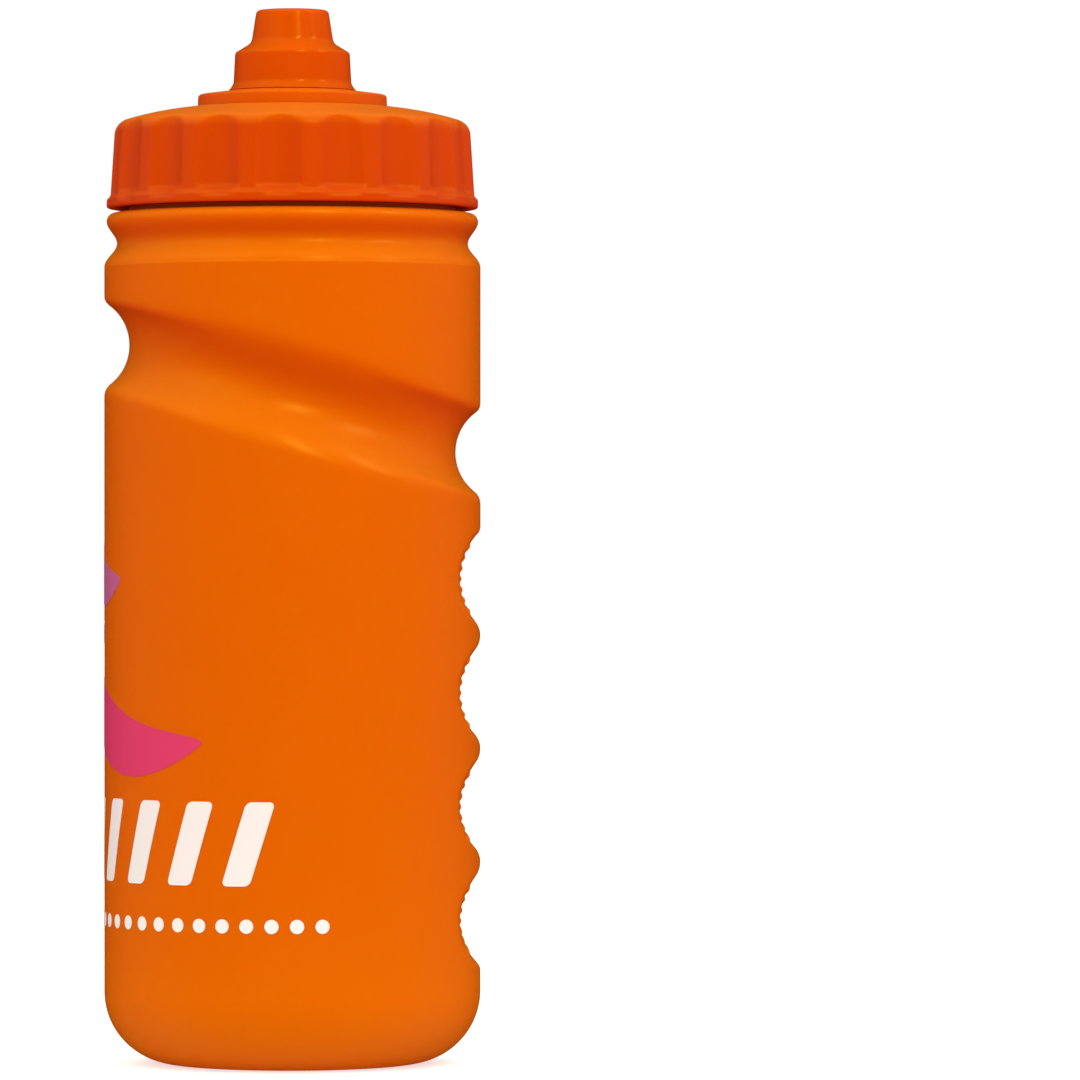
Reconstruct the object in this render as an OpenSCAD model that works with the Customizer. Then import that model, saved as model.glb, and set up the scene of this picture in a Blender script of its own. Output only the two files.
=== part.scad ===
// Sports squeeze bottle with a fluted screw cap and a push-pull mouthpiece.
// Millimetres, +Z up, origin at the middle of the base on the bottle's axis.
// The front of the bottle faces -Y and the four finger grooves face +Y.

/* [Bottle body] */
// Outer diameter of the barrel
body_d = 73; // [72.5:0.1:74]
// Height of the shoulder's top, where the cap's gap begins
shoulder_top = 165; // [160:0.5:170]
// Thickness of the squeezable wall
wall = 1.1; // [0.9:0.1:1.6]
// Radius of the corner between the base and the barrel
base_corner = 14; // [12:0.5:16]
// Height of the hollow under the base
base_hollow = 4; // [2:0.5:5]
// Smallest diameter of the waist groove below the shoulder
waist_d = 68.1; // [67:0.1:71]

/* [Grip] */
// Depth of the slanting thumb groove at its front and back
thumb_depth = 5.4; // [3:0.1:6]
// Radius of the thumb groove's section
thumb_r = 9.6; // [8:0.1:11]
// Height of the thumb groove where it crosses the sides
thumb_z = 128.9; // [125:0.1:132]
// Slant of the thumb groove from level
thumb_tilt = 14.1; // [10:0.1:16]
// Number of finger grooves down the back
fingers = 4; // [2:1:4]
// Distance between finger grooves
finger_pitch = 22; // [20:0.5:23]
// Height of the lowest finger groove
finger_z = 28; // [26:0.5:30]
// Depth of a finger groove
finger_depth = 4; // [2:0.1:5]
// Radius of a finger groove's section
finger_r = 12; // [11:0.5:13]

/* [Neck and thread] */
// Outer diameter of the neck
neck_d = 60.4; // [60.2:0.1:60.6]
// Thickness of the neck's wall
neck_wall = 2; // [1.8:0.1:2.2]
// Height of the neck's rim
rim_z = 180; // [179.5:0.1:180.5]
// Rise of the thread in one turn
thread_lead = 6; // [5.5:0.5:7]
// Turns of thread on the neck and in the cap
thread_turns = 1.25; // [0.75:0.25:1.5]
// Gap between the cap's skirt and the neck's thread
thread_gap = 0.6; // [0.5:0.1:0.7]

/* [Screw cap] */
// Diameter of the bead round the cap's lower edge
cap_d = 72.1; // [71.8:0.1:72.6]
// Number of flutes round the cap
flutes = 18; // [12:1:24]
// Width of one flute
flute_w = 7; // [4:0.5:8]
// Depth of one flute
flute_depth = 0.9; // [0.4:0.1:1.1]
// Thickness of the gasket under the cap's top
gasket_h = 1.5; // [1.3:0.1:1.6]

/* [Spout] */
// Diameter of the round step that the mouthpiece stands on
step_d = 36.8; // [35:0.1:38]
// Outer diameter of the fixed post
post_d = 16; // [15.6:0.1:16]
// Bore of the fixed post
post_bore = 12.8; // [12:0.1:13]
// Diameter of the outlet in the mouthpiece
outlet_d = 5; // [4.6:0.1:5]
// Distance that the mouthpiece pulls up
pull_travel = 4.8; // [4:0.1:4.8]

/* [Hidden] */
$fn = 96;

// Body
body_r = body_d / 2;
waist_r = waist_d / 2;
waist_z = shoulder_top - 5.9;
waist_low = waist_z - 4.5;
shoulder_r = 36.05;
shoulder_round = 1.6;
shoulder_mid = shoulder_top - shoulder_round;
collar_r = 31.7;
collar_h = 1.2;
neck_r = neck_d / 2;
neck_in = neck_r - neck_wall;
foot_r = body_r - base_corner;
hollow_r = foot_r - 8.5;

// Grip: the middle of the thumb groove's ring and of each finger groove
thumb_ring = (body_r + thumb_r - thumb_depth) / cos(thumb_tilt);
finger_y = body_r + finger_r - finger_depth;

// Thread: crest radii, and the height where each one begins
thread_h = 1.3;
thread_root = 2.4;
thread_tip = 1.2;
thread_bury = 0.7;
neck_crest = neck_r + thread_h;
skirt_in = neck_crest + thread_gap;
cap_crest = skirt_in - thread_h;
neck_thread_z = 170.2;
cap_thread_z = neck_thread_z - thread_lead / 2 + 1;
turn_steps = 36;
thread_fade = 4;

// Cap
cap_r = cap_d / 2;
cap_low = shoulder_top + 0.6;
seat_z = rim_z + gasket_h;
cap_top = 185.5;
skirt_low = [35.4, cap_low + 2.6];
skirt_high = [34.5, 180.3];
hole_r = 12;
flute_low = 168.3;
flute_high = 181.5;
flute_turn = 4;

// Spout
step_r = step_d / 2;
step_top = 188.5;
post_r = post_d / 2;
post_in = post_bore / 2;
post_top = 195.2;
head_z = 192.6;
head_r = post_r + 0.6;
spigot_r = hole_r - 0.2;
spigot_low = 182.4;
sleeve_in = post_r + 0.8;
sleeve_out = 10.2;
well_r = sleeve_out + 0.3;
well_z = 186.3;
sleeve_low = well_z + 0.2;
lip_in = post_r + 0.3;
lip_top = head_z - pull_travel - 0.1;
skirt_z = step_top + 0.2;
core_in = 5.2;
core_out = 6.2;
core_top = 200.9;
outlet_r = outlet_d / 2;
mouth_top = 204.2;
oring_z = 194;
oring_tube = 0.8;
seal_tube = 0.7;
seal_ring = 15.5;

// Points of a round stretch, from angle a to angle b
function arc(cx, cy, r, a, b, n = 8) =
    [for (i = [0:n]) let (t = a + (b - a) * i / n) [cx + r * cos(t), cy + r * sin(t)]];

// Points of a smooth S from p to q, level along Z at both ends
function wave(p, q, n = 8) =
    [for (i = [0:n]) let (t = i / n)
        [p[0] + (q[0] - p[0]) * (1 - cos(180 * t)) / 2, p[1] + (q[1] - p[1]) * t]];

// Points of a smooth S from p to q, level along the radius at both ends
function dish(p, q, n = 8) =
    [for (i = [0:n]) let (t = i / n)
        [p[0] + (q[0] - p[0]) * t, p[1] + (q[1] - p[1]) * (1 - cos(180 * t)) / 2]];

module spin(points) {
    rotate_extrude() polygon(points);
}

module ring(middle_r, tube_r, z) {
    translate([0, 0, z]) rotate_extrude() translate([middle_r, 0]) circle(tube_r);
}

// One helical ridge: crest at r_crest, root at r_root, faded out at both ends
module thread(r_crest, r_root, z0, turns) {
    steps = round(turns * turn_steps);
    function fade(i) = min(1, (min(i, steps - i) + 0.3) / thread_fade);
    function section(i) =
        let (a = 360 * i / turn_steps,
             z = z0 + thread_lead * i / turn_steps,
             f = fade(i),
             tip = r_root + (r_crest - r_root) * f,
             root_h = thread_root / 2,
             tip_h = thread_tip / 2 + (thread_root - thread_tip) / 2 * (1 - f))
        [for (p = [[r_root, -root_h], [tip, -tip_h], [tip, tip_h], [r_root, root_h]])
            [p[0] * cos(a), p[0] * sin(a), z + p[1]]];
    // The order of the points round a section decides which side is outside
    flip = r_crest > r_root;
    function face(a, b, c, d) = flip ? [[a, b, c], [a, c, d]] : [[c, b, a], [d, c, a]];
    points = [for (i = [0:steps]) each section(i)];
    sides = [for (i = [0:steps - 1]) for (k = [0:3])
        each face(4 * i + k, 4 * i + (k + 1) % 4, 4 * i + 4 + (k + 1) % 4, 4 * i + 4 + k)];
    last = 4 * steps;
    ends = concat(face(3, 2, 1, 0), face(last, last + 1, last + 2, last + 3));
    polyhedron(points, concat(sides, ends), convexity = 6);
}

module thumb_groove(tube_r) {
    translate([0, 0, thumb_z])
        rotate([-thumb_tilt, 0, 0])
            rotate_extrude()
                translate([thumb_ring, 0])
                    circle(tube_r);
}

module finger_grooves(r) {
    for (i = [0:fingers - 1])
        translate([0, finger_y, finger_z + i * finger_pitch])
            rotate([0, 90, 0])
                cylinder(h = 2 * body_r, r = r, center = true);
}

module bottle_outside() {
    difference() {
        spin(concat(
            dish([0, base_hollow], [hollow_r, base_hollow], 1),
            dish([hollow_r, base_hollow], [foot_r - 1, 0]),
            arc(foot_r, base_corner, base_corner, -90, 0, 12),
            wave([body_r, waist_low], [waist_r, waist_z]),
            wave([waist_r, waist_z], [shoulder_r, shoulder_mid]),
            arc(shoulder_r - shoulder_round, shoulder_mid, shoulder_round, 0, 90),
            [[collar_r, shoulder_top],
             [collar_r, shoulder_top + collar_h],
             [neck_r, shoulder_top + collar_h + 0.7],
             [neck_r, rim_z - 0.4],
             [neck_r - 0.4, rim_z],
             [0, rim_z]]));
        thumb_groove(thumb_r);
        finger_grooves(finger_r);
    }
}

module bottle_inside() {
    under = shoulder_top - wall;
    difference() {
        spin(concat(
            dish([0, base_hollow + wall], [hollow_r, base_hollow + wall], 1),
            dish([hollow_r, base_hollow + wall], [foot_r - 1, wall]),
            arc(foot_r, base_corner, base_corner - wall, -90, 0, 12),
            wave([body_r - wall, waist_low], [waist_r - wall, waist_z]),
            wave([waist_r - wall, waist_z], [shoulder_r - wall - 0.3, shoulder_mid - 0.6]),
            [[shoulder_r - shoulder_round - 0.4, under],
             [neck_in + 1, under],
             [neck_in, under + 1],
             [neck_in, rim_z + 1],
             [0, rim_z + 1]]));
        thumb_groove(thumb_r + wall);
        finger_grooves(finger_r + wall);
    }
}

module bottle_body() {
    color("#E25A0C")
        difference() {
            union() {
                bottle_outside();
                thread(neck_crest, neck_r - thread_bury, neck_thread_z, thread_turns);
            }
            bottle_inside();
        }
}

module screw_cap() {
    color("#D9480C") {
        difference() {
            spin(concat(
                [[skirt_in, cap_low], [cap_r - 0.4, cap_low]],
                [[cap_r, cap_low + 0.4], [cap_r, cap_low + 1.4]],
                [[skirt_low[0], cap_low + 2.2], skirt_low, skirt_high],
                [[33.8, 181.6], [33, 182.3], [31.7, 183.1], [28.9, 183.9]],
                [[24.8, 184.7], [step_r, cap_top], [hole_r, cap_top]],
                [[hole_r, cap_top - 1.9], [step_r, cap_top - 1.9], [24, seat_z + 1.5]],
                [[neck_in - 0.7, seat_z + 1.1], [neck_in - 0.7, seat_z], [skirt_in, seat_z]]));
            difference() {
                for (i = [0:flutes - 1])
                    rotate([0, 0, 360 / flutes * i - flute_turn])
                        translate([skirt_in, 0, 0])
                            rotate([90, 0, 90])
                                linear_extrude(height = 6)
                                    flute_outline(flute_w / 2);
                translate([0, 0, flute_low - 1])
                    cylinder(
                        h = flute_high - flute_low + 2,
                        r1 = skirt_low[0] - flute_depth,
                        r2 = skirt_high[0] - flute_depth);
            }
        }
        thread(cap_crest, skirt_in + thread_bury, cap_thread_z, thread_turns);
    }
}

// Flat outline of a flute: a bar with a round top, half_w to each side
module flute_outline(half_w) {
    polygon(concat(
        [[-half_w, flute_low], [half_w, flute_low]],
        arc(0, flute_high - half_w, half_w, 0, 180, 8)));
}

module cap_seal() {
    color("#3A3A3C")
        spin([[neck_in - 0.4, rim_z], [neck_r + 1.2, rim_z],
              [neck_r + 1.2, seat_z], [neck_in - 0.4, seat_z]]);
}

module spout_base() {
    relief_out = spigot_r - 1.4;
    groove_r = sleeve_in - 0.1 - 2 * oring_tube;
    seal_half = seal_tube + 0.1;
    color("#D9480C")
        difference() {
            spin([
                [post_in, spigot_low],
                [spigot_r + 0.8, spigot_low],
                [spigot_r + 1.2, cap_top - 2],
                [spigot_r, cap_top - 2],
                [spigot_r, cap_top],
                [step_r, cap_top],
                [step_r - 0.1, 187],
                [step_r - 0.25, 187.5],
                [step_r - 0.7, 187.8],
                [12.4, step_top],
                [well_r, step_top],
                [well_r, well_z],
                [post_r, well_z],
                [post_r, head_z],
                [head_r, head_z],
                [head_r, oring_z - oring_tube],
                [groove_r, oring_z - oring_tube],
                [groove_r, oring_z + oring_tube],
                [head_r, oring_z + oring_tube],
                [head_r, post_top - 0.2],
                [head_r - 0.2, post_top],
                [post_in, post_top]]);
            // Ring-shaped relief that keeps the walls even
            spin([[post_r, spigot_low - 1], [relief_out, spigot_low - 1],
                  [relief_out, well_z - 1.4], [post_r, well_z - 1.4]]);
            // Groove for the seal against the cap
            spin([[seal_ring - seal_half, cap_top - 1], [seal_ring + seal_half, cap_top - 1],
                  [seal_ring + seal_half, cap_top + 2 * seal_tube + 0.05],
                  [seal_ring - seal_half, cap_top + 2 * seal_tube + 0.05]]);
        }
}

module base_seal() {
    color("#3A3A3C") ring(seal_ring, seal_tube, cap_top + seal_tube);
}

module post_o_ring() {
    color("#3A3A3C") ring(sleeve_in - 0.07 - oring_tube, oring_tube - 0.02, oring_z);
}

module closing_pin() {
    hub_low = 189.6;
    hub_h = 2.4;
    shaft_r = outlet_r - 0.5;
    bead_r = outlet_r - 0.08;
    bead_z = 201.3;
    tip_z = 203.2;
    color("#E8E4DE") {
        spin([[post_in - 1.1, hub_low], [post_in, hub_low],
              [post_in, hub_low + hub_h], [post_in - 1.1, hub_low + hub_h]]);
        for (i = [0:2])
            rotate([0, 0, 120 * i])
                translate([0, -0.7, hub_low])
                    cube([post_in - 0.5, 1.4, hub_h]);
        spin([[0, hub_low], [shaft_r, hub_low], [shaft_r, bead_z - 0.5], [bead_r, bead_z],
              [bead_r, tip_z - 0.8], [bead_r - 0.8, tip_z], [0, tip_z]]);
    }
}

module pull_sleeve() {
    color("#E8E4DE")
        spin([
            [lip_in, sleeve_low],
            [sleeve_out, sleeve_low],
            [sleeve_out, 195],
            [9.4, 195.9],
            [7, 196.9],
            [core_out, 197.4],
            [core_out, core_top],
            [core_in, core_top],
            [core_in, post_top + 0.5],
            [sleeve_in, post_top + 0.3],
            [sleeve_in, lip_top],
            [lip_in, lip_top]]);
}

module mouthpiece() {
    color("#D4440E")
        spin(concat(
            [[sleeve_out, skirt_z], [12.2, skirt_z]],
            wave([12, skirt_z + 0.2], [11.5, 190], 4),
            [[11.25, 193.2], [11.16, 194.8]],
            arc(10.3, 194.9, 0.86, 0, 60, 4),
            [[9.06, 197.1], [8.26, 197.9], [7.93, 198.7], [7.66, 199.4]],
            [[7.33, 201.2], [7.1, 203.2]],
            arc(6.1, 203.2, 1, 0, 90, 4),
            [[outlet_r + 0.6, mouth_top], [outlet_r, mouth_top - 0.6]],
            [[outlet_r, core_top], [core_out, core_top], [core_out, 197.4]],
            [[7, 196.9], [9.4, 195.9], [sleeve_out, 195]]));
}

bottle_body();
screw_cap();
cap_seal();
spout_base();
base_seal();
post_o_ring();
closing_pin();
pull_sleeve();
mouthpiece();
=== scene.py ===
"""Sports squeeze bottle: soft orange bottle, fluted screw cap and pull-up mouthpiece."""
import math

import bmesh
import bpy
import numpy as np
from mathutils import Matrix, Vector


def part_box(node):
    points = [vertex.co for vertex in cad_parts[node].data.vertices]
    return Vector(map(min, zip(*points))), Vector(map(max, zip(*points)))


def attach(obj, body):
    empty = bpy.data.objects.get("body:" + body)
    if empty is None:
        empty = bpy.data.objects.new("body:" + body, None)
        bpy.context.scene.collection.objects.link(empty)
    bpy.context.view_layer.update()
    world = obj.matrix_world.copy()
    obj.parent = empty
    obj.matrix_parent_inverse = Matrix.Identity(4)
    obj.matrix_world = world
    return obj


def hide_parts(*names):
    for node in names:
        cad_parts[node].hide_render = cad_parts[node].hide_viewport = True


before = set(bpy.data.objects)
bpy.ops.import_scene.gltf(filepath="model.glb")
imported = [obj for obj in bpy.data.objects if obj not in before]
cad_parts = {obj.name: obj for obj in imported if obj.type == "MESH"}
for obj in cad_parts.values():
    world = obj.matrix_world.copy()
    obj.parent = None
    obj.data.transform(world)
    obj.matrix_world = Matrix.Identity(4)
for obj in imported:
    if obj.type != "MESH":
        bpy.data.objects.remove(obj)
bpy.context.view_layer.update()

MM = 0.001
TURN = 2 * math.pi
BACK = math.pi / 2
FRONT = -math.pi / 2


def box_mm(node):
    """Lowest and highest corners of a CAD node, in millimetres."""
    low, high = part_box(node)
    return [v / MM for v in low], [v / MM for v in high]


# ---------------------------------------------------------------- driving sizes, in mm
BODY_HIGH = box_mm("bottle_body")[1]
CAP_LOW, CAP_HIGH = box_mm("screw_cap")
SEAL_HIGH = box_mm("cap_seal")[1]
BASE_LOW, BASE_HIGH = box_mm("spout_base")
MOUTH_LOW, MOUTH_HIGH = box_mm("mouthpiece")
SLEEVE_LOW, SLEEVE_HIGH = box_mm("pull_sleeve")

BODY_R = BODY_HIGH[0]
RIM_Z = BODY_HIGH[2]
CAP_R = CAP_HIGH[0]
CAP_Z = CAP_LOW[2]
SEAT_Z = SEAL_HIGH[2]
CAP_TOP = CAP_HIGH[2]
STEP_R = BASE_HIGH[0]
MOUTH_Z = MOUTH_LOW[2]
MOUTH_TOP = MOUTH_HIGH[2]

WALL = 1.1
BASE_CORNER = 14.0
BASE_HOLLOW = 4.0
SHOULDER_Z = CAP_Z - 0.7
BEAD_Z = CAP_Z + 0.25
SHOULDER_R = 36.05
SHOULDER_ROLL = 1.6
WAIST_Z = SHOULDER_Z - 5.9
WAIST_R = 34.05
COLLAR_R = 31.7
NECK_R = 30.2
NECK_IN = NECK_R - 2.0

THREAD_LEAD = 6.0
THREAD_TURNS = 1.25
THREAD_H = 1.3
THREAD_HALF, THREAD_FLANK = 1.35, 0.85
THREAD_FADE = 0.09
NECK_THREAD_Z = 170.2
CAP_THREAD_Z = NECK_THREAD_Z - THREAD_LEAD / 2 + 1
SKIRT_IN = NECK_R + THREAD_H + 0.6

FLUTES = 18
FLUTE_TURN = math.radians(4)


# ---------------------------------------------------------------- outlines
def fillet_path(corners, step=1.0, arc_step=12.0):
    """Points (r, z) along corners (r, z, fillet), each fillet a true arc."""
    pts = []
    count = len(corners)
    for i, (r, z, radius) in enumerate(corners):
        here = np.array([r, z])
        if radius <= 0 or i in (0, count - 1):
            pts.append(here)
            continue
        before = np.array(corners[i - 1][:2]) - here
        after = np.array(corners[i + 1][:2]) - here
        if not (before.any() and after.any()):
            continue
        a, b = before / np.linalg.norm(before), after / np.linalg.norm(after)
        half = math.acos(max(-1.0, min(1.0, float(a @ b)))) / 2
        reach = radius / math.tan(half)
        bisector = (a + b) / np.linalg.norm(a + b)
        centre = here + bisector * radius / math.sin(half)
        start, end = here + a * reach, here + b * reach
        a0 = math.atan2(*(start - centre)[::-1])
        a1 = math.atan2(*(end - centre)[::-1])
        sweep = (a1 - a0 + math.pi) % TURN - math.pi
        n = max(2, int(math.degrees(abs(sweep)) / arc_step) + 1)
        for k in range(n + 1):
            t = a0 + sweep * k / n
            pts.append(centre + radius * np.array([math.cos(t), math.sin(t)]))
    return resample(np.array(pts), step)


def resample(pts, step):
    """Adds points on the long segments, so that none is over step."""
    out = [pts[0]]
    for p, q in zip(pts[:-1], pts[1:]):
        n = max(1, math.ceil(np.linalg.norm(q - p) / step))
        out += [p + (q - p) * k / n for k in range(1, n + 1)]
    keep = [out[0]]
    for p in out[1:]:
        if np.linalg.norm(p - keep[-1]) > 1e-4:
            keep.append(p)
    return np.array(keep)


def wave(p, q, n=12):
    """Smooth S between two points, upright at both ends."""
    t = np.linspace(0, 1, n + 1)
    r = p[0] + (q[0] - p[0]) * (1 - np.cos(math.pi * t)) / 2
    return np.column_stack([r, p[1] + (q[1] - p[1]) * t])


def dish(p, q, n=12):
    """Smooth S between two points, level at both ends."""
    t = np.linspace(0, 1, n + 1)
    z = p[1] + (q[1] - p[1]) * (1 - np.cos(math.pi * t)) / 2
    return np.column_stack([p[0] + (q[0] - p[0]) * t, z])


def arc(centre, radius, start, end, n=12):
    """Points of a round stretch, angles in degrees."""
    t = np.radians(np.linspace(start, end, n + 1))
    return np.column_stack([centre[0] + radius * np.cos(t), centre[1] + radius * np.sin(t)])


def smooth(x):
    """Soft step from 0 to 1 as x goes from 0 to 1."""
    x = np.clip(x, 0.0, 1.0)
    return x * x * (3 - 2 * x)


# ---------------------------------------------------------------- meshes
def mesh_object(name, verts_mm, faces, mat, body, replaced=()):
    """A smooth-shaded piece that rides on a CAD body."""
    mesh = bpy.data.meshes.new(name)
    mesh.from_pydata((np.asarray(verts_mm) * MM).tolist(), [], faces)
    mesh.validate()
    mesh.polygons.foreach_set("use_smooth", [True] * len(mesh.polygons))
    mesh.update()
    obj = bpy.data.objects.new(name, mesh)
    bpy.context.scene.collection.objects.link(obj)
    mesh.materials.append(mat)
    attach(obj, body)
    if replaced:
        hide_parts(*replaced)
    return obj


def even_angles(n):
    """Angles of n columns, evenly round a full turn."""
    return np.arange(n) * TURN / n


def revolve(profile, angles, warp=None, closed=False):
    """Vertices and quads of a profile turned about Z; ends at r = 0 close to a point.

    warp(angle, r, z) gives the new r of every point of the grid.
    """
    profile = np.asarray(profile)
    rows, cols = len(profile), len(angles)
    r = np.repeat(profile[:, 0][:, None], cols, axis=1)
    z = np.repeat(profile[:, 1][:, None], cols, axis=1)
    a = np.repeat(np.asarray(angles)[None, :], rows, axis=0)
    if warp is not None:
        r = warp(a, r, z)
    verts = np.stack([r * np.cos(a), r * np.sin(a), z], axis=-1).reshape(-1, 3)
    index = np.arange(rows * cols).reshape(rows, cols)
    faces = []
    top = profile[:, 0] < 1e-6
    spans = [(i, i + 1) for i in range(rows - 1)] + ([(rows - 1, 0)] if closed else [])
    for i, j in spans:
        lo, hi = index[i], index[j]
        lo_next, hi_next = np.roll(lo, -1), np.roll(hi, -1)
        if top[i] and top[j]:
            continue
        if top[i]:
            faces += [(int(lo[0]), int(b), int(c)) for b, c in zip(hi_next, hi)]
        elif top[j]:
            faces += [(int(p), int(q), int(hi[0])) for p, q in zip(lo, lo_next)]
        else:
            faces += np.stack([lo, lo_next, hi_next, hi], axis=-1).tolist()
    used = np.zeros(len(verts), bool)
    for f in faces:
        used[list(f)] = True
    remap = np.cumsum(used) - 1
    faces = [tuple(int(remap[v]) for v in f) for f in faces]
    return verts[used], faces


# ---------------------------------------------------------------- materials
WARM_SHEEN = (1.0, 0.75, 0.05, 1)
PLAIN_SHEEN = (1, 1, 1, 1)
# Heights, in metres, where the cap's painted highlight fades in: above them its colour is lighter and
# yellower as if lit from above.
PAINTED_CROWN_LOW_M, PAINTED_CROWN_HIGH_M = 0.1805, 0.1825


def material(name):
    """A new material with its nodes, links and Principled shader."""
    mat = bpy.data.materials.new(name)
    mat.use_nodes = True
    nodes = mat.node_tree.nodes
    return mat, nodes, mat.node_tree.links, nodes["Principled BSDF"]


def add(nodes, kind, **values):
    """A new node; each value sets the input of that name, or else the property."""
    node = nodes.new(kind)
    for key, value in values.items():
        if key in node.inputs:
            node.inputs[key].default_value = value
        else:
            setattr(node, key, value)
    return node


def moulded_plastic(name, colour, deep, roughness, grain, subsurface=0.0, bump=0.05, specular=0.3,
                    crown=None, uneven=0.05, sheen=WARM_SHEEN):
    """Coloured plastic: slow drift of colour, fine moulding grain, soft sheen, and a painted highlight
    on the top if crown is given.

    crown is (low z, high z, colour), in metres: the colour above that height, a painted highlight that
    makes the top lighter and yellower as if lit from above.
    uneven is how far the roughness drifts either way. It is small on the body, where a wider
    drift leaves dark dots in the denoised render. sheen is the colour of the highlights.
    """
    mat, nodes, links, bsdf = material(name)
    where = add(nodes, "ShaderNodeTexCoord")
    drift = add(nodes, "ShaderNodeTexNoise", Scale=28.0, Detail=3.0, Roughness=0.55)
    links.new(where.outputs["Object"], drift.inputs["Vector"])
    mix = add(nodes, "ShaderNodeMix", data_type="RGBA")
    mix.inputs["A"].default_value = (*colour, 1)
    mix.inputs["B"].default_value = (*deep, 1)
    links.new(drift.outputs["Fac"], mix.inputs["Factor"])
    tint = mix.outputs["Result"]
    # Painted highlight: above the crown heights the colour blends to a lighter, yellower one that stands
    # in for light falling on the top.
    if crown:
        split = add(nodes, "ShaderNodeSeparateXYZ")
        links.new(where.outputs["Object"], split.inputs[0])
        height = add(nodes, "ShaderNodeMapRange")
        height.inputs["From Min"].default_value = crown[0]
        height.inputs["From Max"].default_value = crown[1]
        links.new(split.outputs["Z"], height.inputs["Value"])
        top = add(nodes, "ShaderNodeMix", data_type="RGBA")
        top.inputs["B"].default_value = (*crown[2], 1)
        links.new(height.outputs["Result"], top.inputs["Factor"])
        links.new(tint, top.inputs["A"])
        tint = top.outputs["Result"]
    links.new(tint, bsdf.inputs["Base Color"])
    fine = add(nodes, "ShaderNodeTexNoise", Scale=grain, Detail=2.0)
    links.new(where.outputs["Object"], fine.inputs["Vector"])
    rough = add(nodes, "ShaderNodeMapRange")
    rough.inputs["To Min"].default_value = roughness - uneven
    rough.inputs["To Max"].default_value = roughness + uneven
    links.new(fine.outputs["Fac"], rough.inputs["Value"])
    links.new(rough.outputs["Result"], bsdf.inputs["Roughness"])
    bumps = add(nodes, "ShaderNodeBump", Strength=bump, Distance=0.0002)
    links.new(fine.outputs["Fac"], bumps.inputs["Height"])
    links.new(bumps.outputs["Normal"], bsdf.inputs["Normal"])
    bsdf.inputs["Specular IOR Level"].default_value = specular
    bsdf.inputs["Specular Tint"].default_value = sheen
    if subsurface:
        bsdf.inputs["Subsurface Weight"].default_value = subsurface
        bsdf.inputs["Subsurface Radius"].default_value = (1.0, 0.25, 0.05)
        bsdf.inputs["Subsurface Scale"].default_value = 0.0025
    return mat


def make_materials():
    """Every material of the bottle, by a short key."""
    mats = {}
    mats["body"] = moulded_plastic(
        "soft_polyethylene_orange", (0.75, 0.120, 0.0), (0.72, 0.111, 0.0), 0.29, 900.0,
        subsurface=0.30, bump=0.03, uneven=0.012)
    # The cap's crown colour is a painted highlight: the top is lighter and yellower than the skirt, as
    # if lit from above.
    mats["cap"] = moulded_plastic(
        "cap_polypropylene_orange", (0.62, 0.045, 0.0), (0.59, 0.041, 0.0), 0.40, 1400.0,
        subsurface=0.08, bump=0.04, crown=(PAINTED_CROWN_LOW_M, PAINTED_CROWN_HIGH_M, (0.68, 0.088, 0.0)))
    mats["spout"] = moulded_plastic(
        "spout_polypropylene_orange", (0.69, 0.080, 0.0), (0.66, 0.072, 0.0), 0.36, 1400.0,
        subsurface=0.15, bump=0.03)
    mats["soft"] = moulded_plastic(
        "soft_elastomer_orange", (0.65, 0.066, 0.0), (0.62, 0.059, 0.0), 0.22, 700.0,
        subsurface=0.15, bump=0.015)
    mats["valve"] = moulded_plastic(
        "valve_polypropylene_natural", (0.80, 0.77, 0.72), (0.76, 0.73, 0.68), 0.30, 1500.0,
        subsurface=0.10, bump=0.04, specular=0.5, uneven=0.02, sheen=PLAIN_SHEEN)
    mats["seal"] = moulded_plastic(
        "seal_silicone_dark", (0.030, 0.030, 0.033), (0.045, 0.045, 0.048), 0.55, 1200.0,
        bump=0.08, sheen=PLAIN_SHEEN)
    for key, name, colour in (
            ("ink_purple", "print_ink_purple", (0.53, 0.11, 0.26)),
            ("ink_blue", "print_ink_blue", (0.07, 0.40, 0.57)),
            ("ink_pink", "print_ink_pink", (0.72, 0.040, 0.125)),
            ("ink_white", "print_ink_white", (0.90, 0.81, 0.77))):
        mats[key] = moulded_plastic(
            name, colour, tuple(c * 0.93 for c in colour), 0.36, 2200.0,
            bump=0.05, sheen=PLAIN_SHEEN)
    return mats


# ---------------------------------------------------------------- bottle
THUMB_Z, THUMB_RISE = 128.9, 10.4
THUMB_DEPTH, THUMB_TUBE, THUMB_SWELL = 4.85, 9.6, 10.8
THUMB_EDGE_HIGH, THUMB_EDGE_LOW = 2.0, 3.0
FINGER_Z = [28.0 + 22.0 * i for i in range(4)]
FINGER_DEPTH, FINGER_TUBE, FINGER_EDGE, FINGER_END = 4.3, 12.0, 4.4, 2.0
FINGER_BLEND = 1.2
FINGER_REACH = 0.6
STUD_PITCH, STUD_R, STUD_H, STUD_BAND, STUD_SIDE = 2.3, 0.95, 0.46, 6.6, 13.6
PARTING_H, PARTING_HALF = 0.05, 0.35


def round_groove(offset, depth, tube, edge):
    """Depth of a round-bottomed groove with rounded edges, offset from its middle."""
    above = tube - depth
    reach = np.sqrt((tube + edge) ** 2 - (above + edge) ** 2)
    turn = reach * tube / (tube + edge)
    d = np.abs(offset)
    bottom = np.sqrt(np.maximum(tube ** 2 - d ** 2, 0)) - above
    lip = edge - np.sqrt(np.maximum(edge ** 2 - (reach - d) ** 2, 0))
    return np.where(d < turn, bottom, np.where(d < reach, lip, 0.0))


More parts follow.
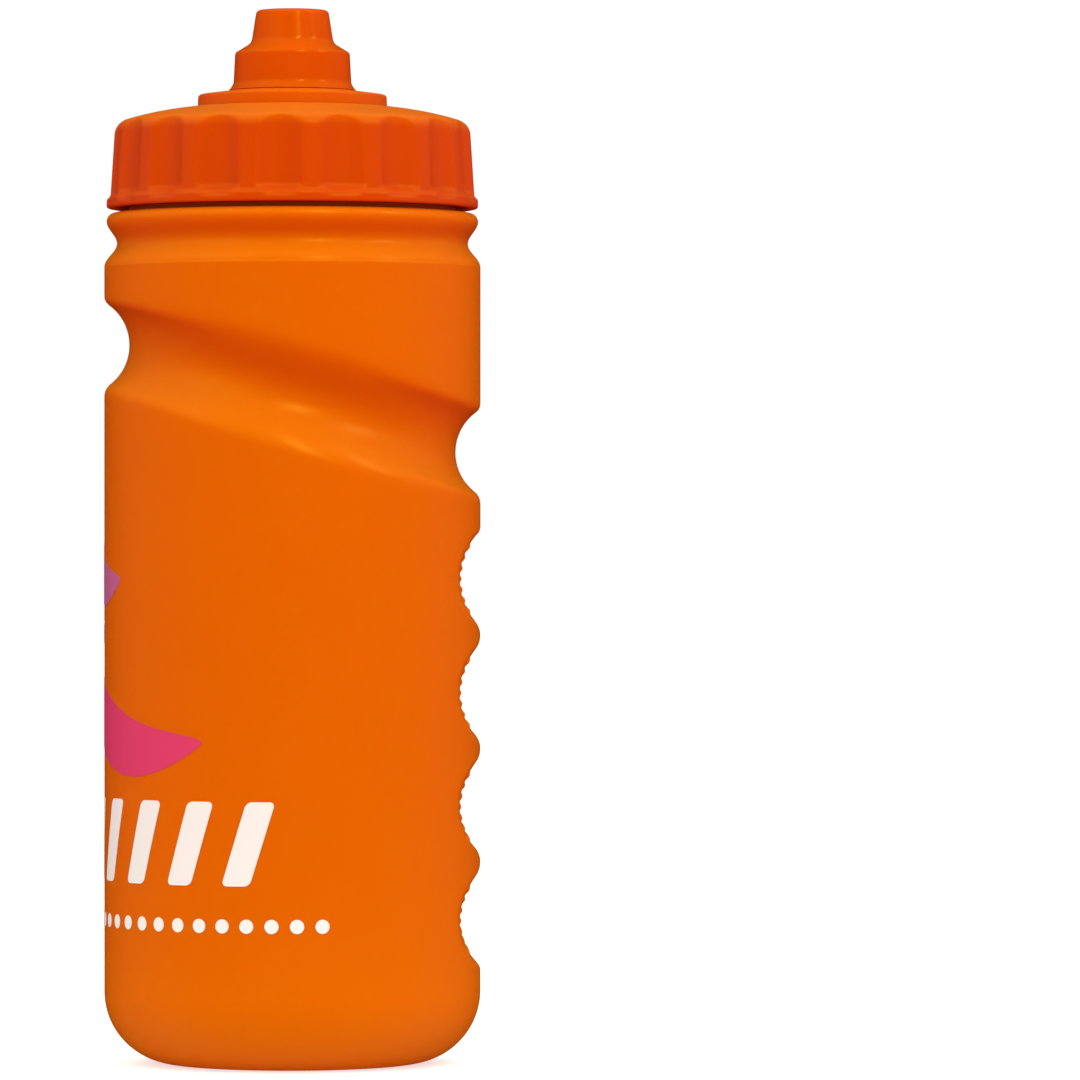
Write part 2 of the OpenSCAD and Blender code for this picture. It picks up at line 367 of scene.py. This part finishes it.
def thumb_radius(angle, z):
    """Radius of the wall in the slanting groove, high at the front and low at the back.

    Its edges are crisp at the front and back and soften into a long swell at the sides.
    """
    middle = THUMB_Z - THUMB_RISE * np.sin(angle)
    slope = THUMB_RISE * np.cos(angle) / BODY_R
    offset = (z - middle) / np.sqrt(1 + slope ** 2)
    edge = np.where(offset > 0, THUMB_EDGE_HIGH, THUMB_EDGE_LOW)
    crisp = round_groove(offset, THUMB_DEPTH, THUMB_TUBE, edge)
    swell = THUMB_DEPTH * np.cos(np.clip(offset / THUMB_SWELL, -1, 1) * math.pi / 2) ** 2
    return BODY_R - swell - (crisp - swell) * smooth((np.abs(np.sin(angle)) - 0.25) / 0.65)


def finger_plane(z):
    """Distance of the finger grooves' surface from the axis, straight across the back."""
    cut = np.zeros_like(z)
    for i, middle in enumerate(FINGER_Z):
        outer = ((i == 0) & (z < middle)) | ((i == len(FINGER_Z) - 1) & (z > middle))
        inner_cut = round_groove(z - middle, FINGER_DEPTH, FINGER_TUBE, FINGER_EDGE)
        end_cut = round_groove(z - middle, FINGER_DEPTH, FINGER_TUBE, FINGER_END)
        cut = np.maximum(cut, np.where(outer, end_cut, inner_cut))
    return BODY_R - cut


def finger_radius(angle, z):
    """Radius of the finger grooves, which run straight across the back of the barrel."""
    across = np.sin(angle)
    plane = finger_plane(z)
    return np.where(across > FINGER_REACH, plane / np.maximum(across, FINGER_REACH), 2 * BODY_R)


def studs(angle, z):
    """Height of the small grip studs in the middle of each finger groove."""
    x = BODY_R * (angle - BACK)
    height = np.zeros_like(x)
    row_step = STUD_PITCH * math.sqrt(3) / 2
    for middle in FINGER_Z:
        row = np.round((z - middle) / row_step)
        for shift in (-1, 0, 1):
            zc = middle + (row + shift) * row_step
            stagger = STUD_PITCH / 2 * (np.abs(row + shift) % 2)
            xc = np.round((x - stagger) / STUD_PITCH) * STUD_PITCH + stagger
            d = np.sqrt((x - xc) ** 2 + (z - zc) ** 2) / STUD_R
            inside = (np.abs(zc - middle) < STUD_BAND) & (np.abs(xc) < STUD_SIDE)
            bump = np.where(inside & (d < 1), (1 - d ** 2) ** 2, 0.0)
            height = np.maximum(height, STUD_H * bump)
    return height


def blended_min(a, b, width):
    """The smaller of two radii, rounded where they cross."""
    h = np.maximum(width - np.abs(a - b), 0) / np.maximum(width, 1e-6)
    return np.minimum(a, b) - h * h * width / 4


def wall_radius(angle, z):
    """Radius of the barrel with all its grooves."""
    plane_cut = np.clip(BODY_R - finger_plane(z), 0, 1)
    width = FINGER_BLEND * plane_cut + 1e-6
    back = blended_min(np.full_like(z, BODY_R), finger_radius(angle, z), width)
    return np.minimum(back, thumb_radius(angle, z))


def thread_height(angle, z, start_z):
    """Rounded ridge of a right-hand thread that fades out at both ends."""
    here = (angle % TURN) / TURN
    lap = np.round((z - start_z) / THREAD_LEAD - here)
    lap = np.clip(lap, 0, 1)
    turns = lap + here
    off = np.abs(z - start_z - turns * THREAD_LEAD)
    ridge = smooth((THREAD_HALF - off) / THREAD_FLANK)
    fade = smooth(turns / THREAD_FADE) * smooth((THREAD_TURNS - turns) / THREAD_FADE)
    return THREAD_H * ridge * fade


def bottle_rows():
    """Outline from the middle of the base, up the outside, over the rim and down the inside."""
    foot = BODY_R - BASE_CORNER
    hollow = foot - 8.5
    barrel_top = WAIST_Z - 4.5
    base = np.vstack([
        resample(np.array([[0, BASE_HOLLOW], [hollow, BASE_HOLLOW]]), 1.5),
        dish((hollow, BASE_HOLLOW), (foot - 1, 0), 14),
        arc((foot, BASE_CORNER), BASE_CORNER, -90, 0, 26)])
    levels = [BASE_CORNER]
    while levels[-1] < barrel_top:
        z = levels[-1]
        studded = any(abs(z - m) < STUD_BAND + 0.8 for m in FINGER_Z)
        grooved = z < FINGER_Z[-1] + 12 or z > THUMB_Z - THUMB_RISE - 11
        levels.append(z + (0.34 if studded else 0.6 if grooved else 1.0))
    barrel = np.array([[BODY_R, z] for z in levels[1:-1]] + [[BODY_R, barrel_top]])
    shoulder_mid = SHOULDER_Z - SHOULDER_ROLL
    shoulder = np.vstack([
        wave((BODY_R, barrel_top), (WAIST_R, WAIST_Z), 14),
        wave((WAIST_R, WAIST_Z), (SHOULDER_R, shoulder_mid), 14)[1:],
        arc((SHOULDER_R - SHOULDER_ROLL, shoulder_mid), SHOULDER_ROLL, 0, 90, 10)[1:],
        fillet_path([(SHOULDER_R - SHOULDER_ROLL, SHOULDER_Z, 0), (COLLAR_R, SHOULDER_Z, 0.35),
                     (COLLAR_R, SHOULDER_Z + 1.2, 0.3), (NECK_R, SHOULDER_Z + 1.9, 0.3),
                     (NECK_R, SHOULDER_Z + 3.2, 0)], 0.5)[1:]])
    neck = np.array([[NECK_R, z] for z in np.arange(SHOULDER_Z + 3.4, RIM_Z - 0.9, 0.2)])
    rim = fillet_path([(NECK_R, RIM_Z - 0.9, 0), (NECK_R, RIM_Z, 0.5), (NECK_IN, RIM_Z, 0.5),
                       (NECK_IN, RIM_Z - 2, 0)], 0.5)
    under = SHOULDER_Z - WALL
    inside_neck = fillet_path([
        (NECK_IN, RIM_Z - 2.5, 0), (NECK_IN, under, 1.0), (SHOULDER_R - 2.0, under, 1.0),
        (SHOULDER_R - WALL - 0.3, shoulder_mid - 0.6, 0)], 1.0)
    inside = np.vstack([
        wave((SHOULDER_R - WALL - 0.3, shoulder_mid - 0.6), (WAIST_R - WALL, WAIST_Z), 8)[1:],
        wave((WAIST_R - WALL, WAIST_Z), (BODY_R - WALL, barrel_top), 8)[1:],
        [[BODY_R - WALL, z] for z in np.arange(barrel_top - 1.2, BASE_CORNER, -1.2)],
        arc((foot, BASE_CORNER), BASE_CORNER - WALL, 0, -90, 14),
        dish((foot - 1, WALL), (hollow, BASE_HOLLOW + WALL), 10),
        resample(np.array([[hollow, BASE_HOLLOW + WALL], [0, BASE_HOLLOW + WALL]]), 2.0)[1:]])
    outside = np.vstack([base, barrel, shoulder, neck])
    return outside, np.vstack([rim, inside_neck, inside])


def bottle_angles():
    """Close columns across the studded back, wider ones round the rest."""
    half, back_columns, rest_columns = math.radians(28), 104, 206
    back = np.linspace(BACK - half, BACK + half, back_columns)
    rest = np.linspace(BACK + half, BACK - half + TURN, rest_columns)[1:-1]
    return np.concatenate([back, rest])


def build_bottle(mats):
    """The squeeze bottle, with its grooves, studs, parting line and thread."""
    outside, inside = bottle_rows()
    rows = len(outside)

    def warp(angle, r, z):
        r = r.copy()
        out_a, out_z = angle[:rows], z[:rows]
        body = (out_z > BASE_CORNER - 0.5) & (out_z < WAIST_Z) & (r[:rows] > NECK_R)
        wall = wall_radius(out_a, out_z) + studs(out_a, out_z)
        r[:rows] = np.where(body, np.minimum(r[:rows], wall), r[:rows])
        neck = out_z > SHOULDER_Z + 1.9
        r[:rows] += np.where(neck, thread_height(out_a, out_z, NECK_THREAD_Z), 0)
        r[:rows] += parting_line(out_a, out_z, r[:rows])
        in_a, in_z = angle[rows:], z[rows:]
        hollow = (in_z > BASE_CORNER - 0.5) & (in_z < WAIST_Z)
        r[rows:] = np.where(hollow, np.minimum(r[rows:], wall_radius(in_a, in_z) - WALL), r[rows:])
        return r

    verts, faces = revolve(np.vstack([outside, inside]), bottle_angles(), warp)
    return mesh_object("squeeze_bottle", verts, faces, mats["body"], "bottle",
                       ["bottle_body"])


def parting_line(angle, z, r):
    """Fine raised line where the two halves of the blow mould met, front and back."""
    turned = angle % TURN
    away = np.minimum(np.abs(turned - BACK), np.abs(turned - 1.5 * math.pi))
    return PARTING_H * smooth(1 - away * r / PARTING_HALF) * ((z > 1) & (z < SHOULDER_Z))


# ---------------------------------------------------------------- print
FILM = 0.05


def film_patch(edge_a, edge_b, across):
    """Closed thin patch on the barrel between two edges of points (arc length, z)."""
    edge_a, edge_b = np.asarray(edge_a), np.asarray(edge_b)
    t = np.linspace(0, 1, across + 1)[None, :, None]
    grid = edge_a[:, None, :] * (1 - t) + edge_b[:, None, :] * t
    n, m = grid.shape[:2]
    angle = FRONT + grid[..., 0] / BODY_R
    layers = []
    for r in (BODY_R + FILM, BODY_R - FILM / 2):
        layers.append(np.stack([r * np.cos(angle), r * np.sin(angle), grid[..., 1]], axis=-1))
    verts = np.concatenate([layer.reshape(-1, 3) for layer in layers])
    top = np.arange(n * m).reshape(n, m)
    under = top + n * m
    quads = np.stack([top[:-1, :-1], top[:-1, 1:], top[1:, 1:], top[1:, :-1]], axis=-1)
    faces = quads.reshape(-1, 4).tolist()
    faces += [q[::-1] for q in (quads + n * m).reshape(-1, 4).tolist()]
    ring = [*top[0, :-1], *top[:-1, -1], *top[-1, :0:-1], *top[:0:-1, 0]]
    for p, q in zip(ring, ring[1:] + ring[:1]):
        faces.append([int(q), int(p), int(p) + n * m, int(q) + n * m])
    return verts, faces


def film_object(name, patches, mat):
    """One printed colour, made of any number of patches."""
    verts, faces = [], []
    for patch_verts, patch_faces in patches:
        start = sum(len(v) for v in verts)
        verts.append(patch_verts)
        faces += [[i + start for i in f] for f in patch_faces]
    obj = mesh_object(name, np.concatenate(verts), faces, mat, "bottle")
    form = bmesh.new()
    form.from_mesh(obj.data)
    bmesh.ops.remove_doubles(form, verts=form.verts, dist=1e-8)
    bmesh.ops.dissolve_degenerate(form, edges=form.edges, dist=1e-8)
    bmesh.ops.recalc_face_normals(form, faces=form.faces)
    form.to_mesh(obj.data)
    form.free()
    obj.data.set_sharp_from_angle(angle=math.radians(40))
    return obj


def ribbon(start, end, middle, swing, lean, half, n=90):
    """A printed wave: it swells from a point, swings once and runs out to a point."""
    t = np.linspace(0, 1, n)
    s = (start + (end - start) * t) * BODY_R * math.pi / 180
    centre = middle + swing * np.sin(TURN * t) + lean * (t - 0.5)
    width = half * np.sin(math.pi * t) ** 0.7
    return film_patch(np.column_stack([s, centre - width]), np.column_stack([s, centre + width]), 8)


def slanted_bar(s, low, high, width, lean, corner=1.1):
    """A leaning bar with rounded corners."""
    end = arc((width / 2 - corner, corner), corner, -90, 0, 10)
    half, up = end[:, 0], end[:, 1]
    straight = np.linspace(low + corner, high - corner, 12)[1:-1]
    half = np.concatenate([half, np.full_like(straight, width / 2), half[::-1]])
    z = np.concatenate([low + up, straight, high - up[::-1]])
    centre = s + lean * ((z - low) / (high - low) - 0.5)
    return film_patch(np.column_stack([centre - half, z]), np.column_stack([centre + half, z]), 6)


def dot(s, z, radius, n=18):
    """A round dot."""
    a = np.linspace(0, math.pi, n)
    side, up = radius * np.sin(a), -radius * np.cos(a)
    return film_patch(np.column_stack([s - side, z + up]), np.column_stack([s + side, z + up]), 6)


def build_print(mats):
    """Plain shapes in the colours and place of the print: waves, bars and dots."""
    film_object("print_wave_purple", [ribbon(-52, 25, 101, 4.0, -14, 6.0)], mats["ink_purple"])
    film_object("print_wave_blue", [ribbon(-76, 5, 86, 4.0, -2, 5.2)], mats["ink_blue"])
    film_object("print_wave_pink", [ribbon(-40, 62, 66, 3.0, -6, 6.6)], mats["ink_pink"])
    bars = [slanted_bar(12.2 * i, 35.8, 51.8, 5.6, 5.0) for i in range(-4, 5)]
    film_object("print_bars_white", bars, mats["ink_white"])
    dots = [dot(4.85 * i, 28.2, 1.35) for i in range(-13, 14)]
    film_object("print_dots_white", dots, mats["ink_white"])


# ---------------------------------------------------------------- screw cap
CROWN_R = 65.0
CROWN_CENTRE = (13.85, CAP_TOP - 64.84)
SKIRT_HIGH = (34.45, 182.35)
SKIRT_LOW = (35.35, 168.3)
FLUTE_DEPTH, FLUTE_R, FLUTE_LEAN = 1.3, 7.6, 0.03
FLUTE_FOOT, FLUTE_FOOT_DROP, FLUTE_ROUND = 1.9, 0.95, 0.5
FLUTE_CLEAR = 1.3
SKIRT_FROM_R = 30
HOLE_R = 12
NO_FLUTE = 99.0


def flute_radius(angle, r, z):
    """Radius of the skirt with its upright scoops, which run out at the crown and the bead."""
    pitch = TURN / FLUTES
    a = (angle + FLUTE_TURN + pitch / 2) % pitch - pitch / 2
    slant = (SKIRT_LOW[0] - SKIRT_HIGH[0]) / (SKIRT_HIGH[1] - SKIRT_LOW[1])
    face = SKIRT_LOW[0] - slant * (z - SKIRT_LOW[1])
    middle = face - FLUTE_DEPTH + FLUTE_R - FLUTE_LEAN * (SKIRT_HIGH[1] - z)
    inside = FLUTE_R ** 2 - (middle * np.sin(a)) ** 2
    hit = middle * np.cos(a) - np.sqrt(np.maximum(inside, 0))
    hit = np.where(inside > 0, hit, NO_FLUTE)
    foot = smooth((z - SKIRT_LOW[1] + FLUTE_FOOT_DROP) / FLUTE_FOOT)
    return blended_min(r, hit + (1 - foot) * FLUTE_DEPTH * FLUTE_CLEAR, FLUTE_ROUND)


def cap_rows():
    """Outline of the cap: outside from the crown down to the skirt, then inside up to the hole."""
    crown = arc(CROWN_CENTRE, CROWN_R, 85.8, 74.2, 26)
    lower = fillet_path([
        (crown[-1][0], crown[-1][1], 0), (*SKIRT_HIGH, 3.0), (*SKIRT_LOW, 0.6),
        (CAP_R, CAP_Z + 1.9, 0.5), (CAP_R, BEAD_Z, 0.45), (SKIRT_IN, BEAD_Z, 0.3),
        (SKIRT_IN, CAP_Z + 1.2, 0)], 0.35, 8)
    threaded = np.array([[SKIRT_IN, z] for z in np.arange(CAP_Z + 1.4, CAP_Z + 12.6, 0.2)])
    ceiling = fillet_path([
        (SKIRT_IN, CAP_Z + 12.8, 0), (SKIRT_IN, SEAT_Z, 0.4), (27.5, SEAT_Z, 0.3),
        (27.5, SEAT_Z + 1.1, 0.5), (24, SEAT_Z + 1.5, 1.0), (18.4, CAP_TOP - 1.9, 1.0),
        (HOLE_R, CAP_TOP - 1.9, 0.3), (HOLE_R, CAP_TOP, 0.3),
        (crown[0][0], crown[0][1], 0)], 1.2)
    return np.vstack([crown, lower[1:]]), np.vstack([threaded, ceiling[:-1]])


def build_cap(mats):
    """The screw cap, with its flutes outside and its thread inside."""
    outer, inner = cap_rows()
    rows = len(outer)

    def warp(angle, r, z):
        r = r.copy()
        skirt = (r[:rows] > SKIRT_FROM_R) & (z[:rows] > SKIRT_LOW[1] - 1)
        r[:rows] = np.where(skirt, flute_radius(angle[:rows], r[:rows], z[:rows]), r[:rows])
        wall = (np.abs(r[rows:] - SKIRT_IN) < 0.01) & (z[rows:] < SEAT_Z - 1)
        r[rows:] -= np.where(wall, thread_height(angle[rows:], z[rows:], CAP_THREAD_Z), 0)
        return r

    profile = np.vstack([outer, inner])[::-1]

    def flipped(angle, r, z):
        return warp(angle, r[::-1], z[::-1])[::-1]

    verts, faces = revolve(profile, even_angles(FLUTES * 22), flipped, closed=True)
    return mesh_object("fluted_cap", verts, faces, mats["cap"], "cap", ["screw_cap"])


# ---------------------------------------------------------------- spout
RING_COLUMNS = 160


def ring_piece(name, corners, mat, body, replaced, step=0.8, arc_step=12.0):
    """A ring-shaped piece from a closed outline of corners (r, z, fillet), anticlockwise."""
    loop = list(corners) + [(*corners[0][:2], 0)]
    profile = fillet_path(loop, step, arc_step)[:-1]
    verts, faces = revolve(profile, even_angles(RING_COLUMNS), closed=True)
    return mesh_object(name, verts, faces, mat, body, [replaced])


def build_spout(mats):
    """The step with its post, the soft mouthpiece and the sleeve inside it."""
    post_r, post_in, well_r, relief_r = 8.0, 6.4, 10.5, 10.4
    foot_r, neck_r, floor_thick = 12.6, 11.8, 1.4
    well_z = SLEEVE_LOW[2] - 0.2
    post_top = BASE_HIGH[2]
    head_z, head_r = post_top - 2.6, 8.6
    ring_z, ring_half, groove_r = post_top - 1.2, 0.8, 7.1
    step_top = MOUTH_Z - 0.08
    low = BASE_LOW[2]
    # The step's underside is flat here: it has no groove for the O-ring between it and the cap.
    ring_piece("spout_step", [
        (post_in, low + 3, 0), (post_in, low, 0.2), (post_r, low, 0.2),
        (post_r, well_z - floor_thick, 0.3), (relief_r, well_z - floor_thick, 0.3),
        (relief_r, low, 0.2), (foot_r, low, 0.3), (13.0, CAP_TOP - 2, 0.2),
        (neck_r, CAP_TOP - 2, 0.1), (neck_r, CAP_TOP, 0), (STEP_R, CAP_TOP, 0.05),
        (STEP_R - 0.1, CAP_TOP + 2.35, 0.55), (foot_r, step_top, 0.6), (well_r, step_top, 0.25),
        (well_r, well_z, 0.3), (post_r, well_z, 0.3), (post_r, head_z, 0.1), (head_r, head_z, 0.1),
        (head_r, ring_z - ring_half, 0.08), (groove_r, ring_z - ring_half, 0.08),
        (groove_r, ring_z + ring_half, 0.08), (head_r, ring_z + ring_half, 0.08),
        (head_r, post_top, 0.2), (post_in, post_top, 0.3)],
        mats["spout"], "cap", "spout_base")

    outlet = 2.5
    core_in, core_out, core_top = 5.2, 6.2, SLEEVE_HIGH[2]
    sleeve_out = 10.2
    shared_edge = [
        (sleeve_out, 195, 0.2), (9.4, 195.9, 0.3), (7, 196.9, 0.3), (core_out, 197.4, 0.2),
        (core_out, core_top, 0.1)]
    ring_piece("soft_mouthpiece", [
        (sleeve_out, MOUTH_Z + 3, 0), (sleeve_out, MOUTH_Z, 0.15), (12.5, MOUTH_Z, 0.12),
        (12.1, MOUTH_Z + 0.4, 0.4), (11.45, MOUTH_Z + 1.4, 1.4), (11.13, 196.1, 0.8), (7.98, 198.0, 2.0),
        (6.98, MOUTH_TOP + 0.2, 0.9), (4.3, MOUTH_TOP + 0.2, 1.5), (3.4, MOUTH_TOP - 0.45, 0.8),
        (outlet, MOUTH_TOP - 0.9, 0.3), (outlet, core_top, 0.1), *shared_edge[::-1]],
        mats["soft"], "mouthpiece", "mouthpiece", step=0.4, arc_step=8)

    lip_in, lip_top, sleeve_in = 8.3, 187.7, 8.8
    ring_piece("pull_up_sleeve", [
        (lip_in, lip_top - 0.5, 0), (lip_in, SLEEVE_LOW[2], 0.15), (sleeve_out, SLEEVE_LOW[2], 0.2),
        *shared_edge, (core_in, core_top, 0.1), (core_in, post_top + 0.5, 0.2),
        (sleeve_in, post_top + 0.3, 0.2), (sleeve_in, lip_top, 0.1), (lip_in, lip_top, 0.1)],
        mats["valve"], "mouthpiece", "pull_sleeve")


def main():
    """Builds the bottle, then gives the CAD pieces that stay visible their materials."""
    mats = make_materials()
    build_bottle(mats)
    build_print(mats)
    build_cap(mats)
    build_spout(mats)
    for node, key in (("cap_seal", "seal"), ("base_seal", "seal"), ("post_o_ring", "seal"),
                      ("closing_pin", "valve")):
        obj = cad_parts[node]
        for slot in obj.material_slots:
            slot.material = mats[key]
    build_stage()
    build_camera()


# ---------------------------------------------------------------- stage, light and camera
CAMERA_FAR = 1.455
CAMERA_HIGH = 0.1015
CAMERA_LENS = 249.5
CAMERA_PAN = math.radians(1.894)
FLOOR_HALF = 8.0
CARD_R, CARD_DROP = 0.065, 0.0001
AIM_HIGH = 0.11


def build_stage():
    """Floor, card, room light and three lamps."""
    mat = build_floor()
    build_card(mat)
    build_world()
    add_light("key_softbox", 19, 38, 1.6, (0.12, 0.70), 6.0)
    add_light("side_softbox", 68, 36, 1.6, (0.10, 0.60), 3.0)
    add_light("fill_softbox", -52, 40, 1.8, (1.3, 1.3), 4.0)
    bpy.context.scene.view_settings.view_transform = "Standard"


def build_floor():
    """Pale glowing paper that the camera sees and that adds no light to the bottle."""
    mesh = bpy.data.meshes.new("studio_floor")
    far = FLOOR_HALF
    mesh.from_pydata([(-far, -far, 0), (far, -far, 0), (far, far, 0), (-far, far, 0)],
                     [], [(0, 1, 2, 3)])
    floor = bpy.data.objects.new("studio_floor", mesh)
    bpy.context.scene.collection.objects.link(floor)
    mat, _, _, bsdf = material("studio_floor_paper")
    bsdf.inputs["Base Color"].default_value = (0.50, 0.50, 0.50, 1)
    bsdf.inputs["Emission Color"].default_value = (1, 1, 1, 1)
    bsdf.inputs["Emission Strength"].default_value = 0.62
    bsdf.inputs["Roughness"].default_value = 0.9
    bsdf.inputs["Specular IOR Level"].default_value = 0.1
    mesh.materials.append(mat)
    floor.visible_diffuse = False
    floor.visible_glossy = False
    return mat


def build_card(mat):
    """Round card just under the bottle that lights its base and that the camera doesn't see."""
    card_mesh = bpy.data.meshes.new("bounce_card")
    spots = even_angles(64)
    card_mesh.from_pydata([(CARD_R * math.cos(a), CARD_R * math.sin(a), 0) for a in spots], [],
                          [list(range(len(spots)))])
    card_mesh.materials.append(mat)
    card = bpy.data.objects.new("bounce_card", card_mesh)
    card.location.z = -CARD_DROP
    card.visible_camera = False
    card.visible_glossy = False
    bpy.context.scene.collection.objects.link(card)


def build_world():
    """Room light, reddish below and greenish above; the camera itself sees plain white."""
    world = bpy.data.worlds.new("studio_world")
    bpy.context.scene.world = world
    world.use_nodes = True
    nodes, links = world.node_tree.nodes, world.node_tree.links
    back = nodes["Background"]
    where = nodes.new("ShaderNodeTexCoord")
    split = nodes.new("ShaderNodeSeparateXYZ")
    height = nodes.new("ShaderNodeMapRange")
    height.inputs["From Min"].default_value = -1.0
    ramp = nodes.new("ShaderNodeValToRGB")
    stops = ramp.color_ramp.elements
    stops[0].position, stops[0].color = 0.44, (0.76, 0.33, 0.40, 1)
    stops[1].position, stops[1].color = 1.0, (1.12, 2.0, 1.45, 1)
    level = stops.new(0.52)
    level.color = (0.57, 0.46, 0.68, 1)
    links.new(where.outputs["Generated"], split.inputs[0])
    links.new(split.outputs["Z"], height.inputs["Value"])
    links.new(height.outputs["Result"], ramp.inputs["Fac"])
    links.new(ramp.outputs["Color"], back.inputs["Color"])
    back.inputs["Strength"].default_value = 1.27
    world.cycles_visibility.glossy = False
    ray = nodes.new("ShaderNodeLightPath")
    paper = nodes.new("ShaderNodeBackground")
    paper.inputs["Color"].default_value = (1.0, 1.0, 1.0, 1)
    paper.inputs["Strength"].default_value = 1.02
    pick = nodes.new("ShaderNodeMixShader")
    links.new(ray.outputs["Is Camera Ray"], pick.inputs["Fac"])
    links.new(back.outputs[0], pick.inputs[1])
    links.new(paper.outputs[0], pick.inputs[2])
    links.new(pick.outputs[0], nodes["World Output"].inputs["Surface"])


def add_light(name, azimuth, elevation, distance, size, power):
    """A soft rectangular lamp aimed at the bottle; azimuth runs from the camera to its right."""
    lamp = bpy.data.lights.new(name, "AREA")
    lamp.shape = "RECTANGLE"
    lamp.size, lamp.size_y = size
    lamp.energy = power
    lamp.color = (1.0, 1.0, 0.85)
    obj = bpy.data.objects.new(name, lamp)
    bpy.context.scene.collection.objects.link(obj)
    a, e = math.radians(azimuth), math.radians(elevation)
    aim = np.array([0, 0, AIM_HIGH])
    way = np.array([math.cos(a) * math.cos(e), math.sin(a) * math.cos(e), math.sin(e)])
    place(obj, aim + way * distance, aim)


def place(obj, where, aim):
    """Puts a lamp or the camera at a point, looking at another."""
    obj.location = where
    obj.rotation_euler = (Vector(aim) - Vector(where)).to_track_quat("-Z", "Y").to_euler()


def build_camera():
    """Long lens, turned a little so that the bottle stands left of the middle."""
    cam = bpy.data.cameras.new("main_camera")
    cam.lens = CAMERA_LENS
    cam.sensor_width = 36.0
    cam.clip_start = 0.05
    obj = bpy.data.objects.new("main_camera", cam)
    bpy.context.scene.collection.objects.link(obj)
    where = (CAMERA_FAR, 0, CAMERA_HIGH)
    side = math.tan(CAMERA_PAN) * CAMERA_FAR
    place(obj, where, (0, side, CAMERA_HIGH))
    bpy.context.scene.camera = obj


main()
